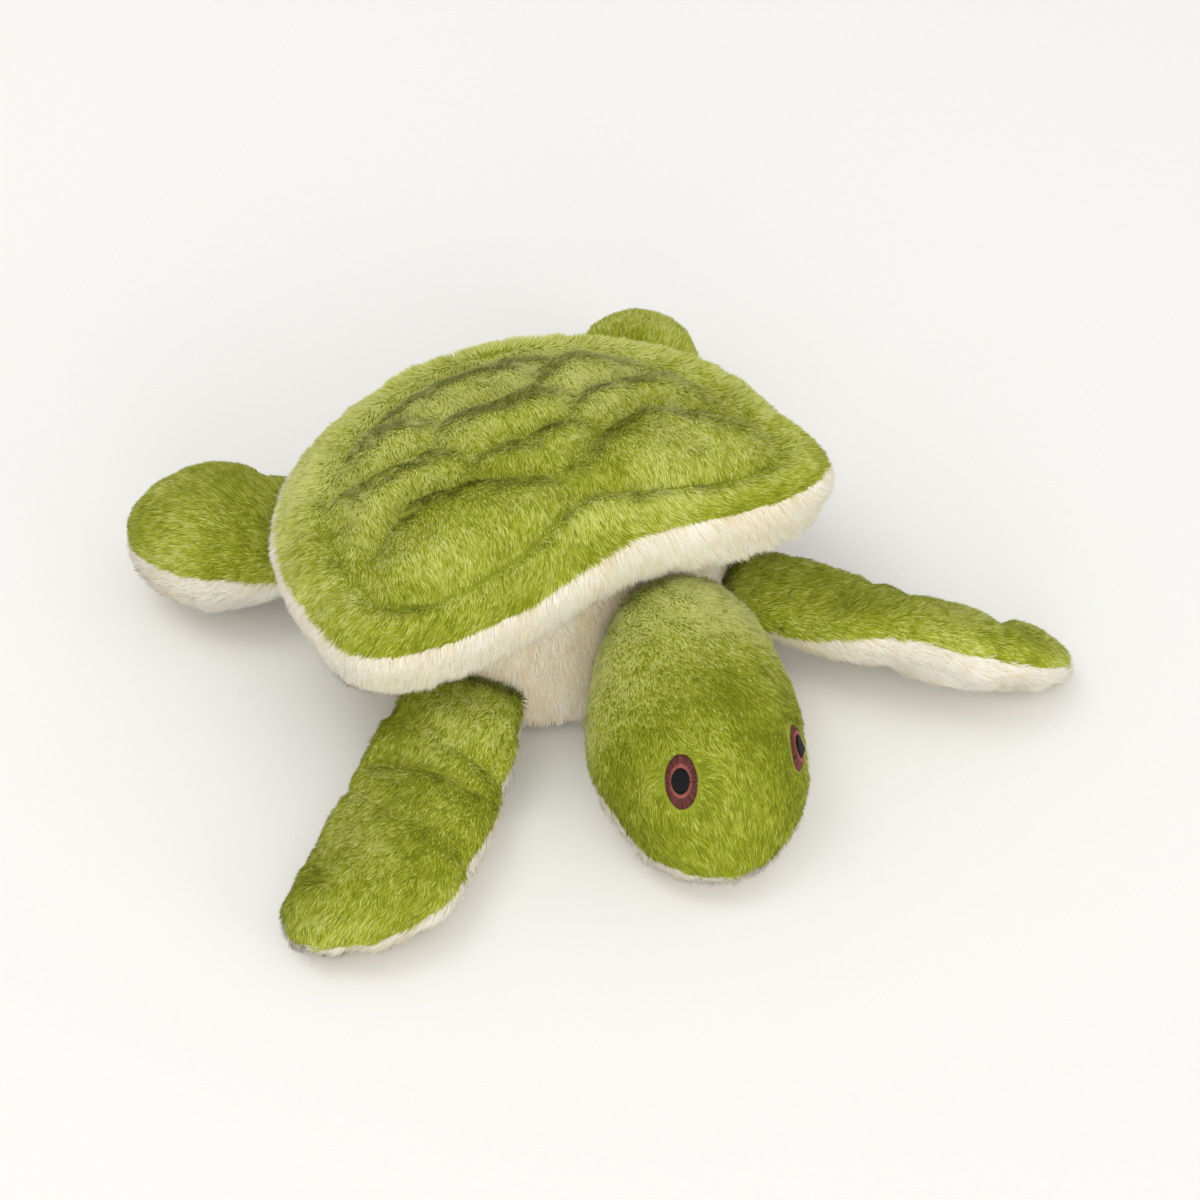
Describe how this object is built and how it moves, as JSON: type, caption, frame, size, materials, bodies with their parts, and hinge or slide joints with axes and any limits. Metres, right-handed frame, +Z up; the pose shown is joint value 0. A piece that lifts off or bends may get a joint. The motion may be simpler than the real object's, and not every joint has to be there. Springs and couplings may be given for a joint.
{
  "type": "plush sea turtle",
  "caption": "Stuffed plush sea turtle with a quilted shell cushion, a nodding and turning head and floppy flippers, lying on its flat belly.",
  "frame": {"origin": "floor point under the middle of the bounding box", "axes": "+X to the turtle's left, -Y forward along its head, +Z up"},
  "size_m": [0.3682, 0.3174, 0.1079],
  "materials": {
    "green_plush": "matte",
    "cream_plush": "matte",
    "wadding": "matte",
    "maroon_thread": "satin",
    "black_thread": "satin"
  },
  "bodies": {
    "body": {"shell_cover_top": "green_plush", "shell_cover_under": "cream_plush", "shell_filling": "wadding", "body_cover": "cream_plush", "body_filling": "wadding"},
    "neck": {"neck_cover": "cream_plush", "neck_filling": "wadding"},
    "head": {"head_cover_top": "green_plush", "head_cover_chin": "cream_plush", "head_filling": "wadding", "eye_left_iris": "maroon_thread", "eye_left_pupil": "black_thread", "eye_right_iris": "maroon_thread", "eye_right_pupil": "black_thread"},
    "front_right_flipper": {"front_right_flipper_top": "green_plush", "front_right_flipper_under": "cream_plush", "front_right_flipper_filling": "wadding"},
    "front_left_flipper": {"front_left_flipper_top": "green_plush", "front_left_flipper_under": "cream_plush", "front_left_flipper_filling": "wadding"},
    "rear_right_flipper": {"rear_right_flipper_top": "green_plush", "rear_right_flipper_under": "cream_plush", "rear_right_flipper_filling": "wadding"},
    "rear_left_flipper": {"rear_left_flipper_top": "green_plush", "rear_left_flipper_under": "cream_plush", "rear_left_flipper_filling": "wadding"}
  },
  "joints": [
    {"name": "neck_turn", "type": "hinge", "parent": "body", "child": "neck", "pos_m": [0.02367, -0.03813, 0.029], "axis": [0, 0, 1], "range_deg": [-5, 10]},
    {"name": "head_nod", "type": "hinge", "parent": "neck", "child": "head", "pos_m": [0.02367, -0.03813, 0.029], "axis": [0.9986, -0.0523, 0], "range_deg": [-10, 6]},
    {"name": "front_right_flap", "type": "hinge", "parent": "body", "child": "front_right_flipper", "pos_m": [-0.06135, -0.02204, 0.026], "axis": [0.6691, -0.7431, 0], "range_deg": [-20, 25]},
    {"name": "front_left_flap", "type": "hinge", "parent": "body", "child": "front_left_flipper", "pos_m": [0.07306, -0.02371, 0.026], "axis": [0.7771, 0.6293, 0], "range_deg": [-20, 25]},
    {"name": "rear_right_flap", "type": "hinge", "parent": "body", "child": "rear_right_flipper", "pos_m": [-0.06476, 0.09018, 0.026], "axis": [-0.4695, -0.8829, 0], "range_deg": [-10, 25]},
    {"name": "rear_left_flap", "type": "hinge", "parent": "body", "child": "rear_left_flipper", "pos_m": [0.07689, 0.09175, 0.026], "axis": [-0.7314, 0.682, 0], "range_deg": [-10, 25]}
  ]
}
